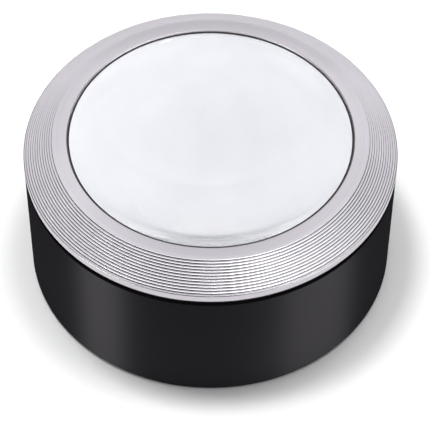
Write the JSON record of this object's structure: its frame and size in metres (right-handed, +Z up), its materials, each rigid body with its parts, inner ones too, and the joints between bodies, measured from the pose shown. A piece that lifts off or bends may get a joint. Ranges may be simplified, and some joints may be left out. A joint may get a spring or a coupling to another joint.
{
  "type": "magnifying glass",
  "caption": "Desktop dome magnifier: a domed lens in a ribbed metal ring on a round drum, with lamps inside, a push button on the side and a battery tray that slides out below",
  "frame": {"origin": "centre of the foot's underside, on the drum's axis", "axes": "+Z up along the lens axis, +Y away from the picture's camera, +X to its right"},
  "size_m": [0.099, 0.099, 0.0547],
  "materials": {
    "bezel_ring": "turned, clear anodised, fine concentric lay",
    "lens": "clear polished lens",
    "lens_seal": "thin matt black gasket",
    "lens_cell": "black moulded nylon",
    "drum_shell": "satin black",
    "reflector_sleeve": "white diffuse",
    "base_plate": "black moulded, fine grain",
    "foot_ring": "black non-slip foam rubber",
    "base_screws": "zinc plated, cross recess",
    "button_cap": "black, fine texture",
    "button_collar": "turned, clear anodised",
    "switch_body": "moulded",
    "switch_plunger": "cream nylon",
    "circuit_board": "green laminate",
    "resistor": "chip resistor",
    "battery_holder": "moulded",
    "battery_tray": "moulded, fine grain",
    "coin_cells": "nickel plated cans",
    "contacts": "spring strip",
    "leds": "clear epoxy lamp",
    "wire_positive": "insulation",
    "wire_negative": "insulation",
    "wire_switched": "insulation"
  },
  "bodies": {
    "drum": {"bezel_ring": "bezel_ring", "lens": "lens", "lens_seal": "lens_seal", "lens_cell": "lens_cell", "drum_shell": "drum_shell", "reflector_sleeve": "reflector_sleeve", "base_plate": "base_plate", "foot_ring": "foot_ring", "base_screws": "base_screws", "button_collar": "button_collar", "switch_body": "switch_body", "switch_board": "circuit_board", "resistor": "resistor", "battery_holder": "battery_holder", "contact_positive": "contacts", "contact_negative": "contacts", "led_board": "circuit_board", "leds": "leds", "wire_positive": "wire_positive", "wire_negative": "wire_negative", "wire_switched": "wire_switched"},
    "button": {"button_cap": "button_cap", "switch_plunger": "switch_plunger"},
    "tray": {"battery_tray": "battery_tray", "coin_cells": "coin_cells"}
  },
  "joints": [
    {"name": "button_press", "type": "slide", "parent": "drum", "child": "button", "axis": [-0.4226, -0.9063, 0], "range_m": [0, 0.0012]},
    {"name": "battery_tray_slide", "type": "slide", "parent": "drum", "child": "tray", "axis": [0, 0, -1], "range_m": [0, 0.026]}
  ]
}
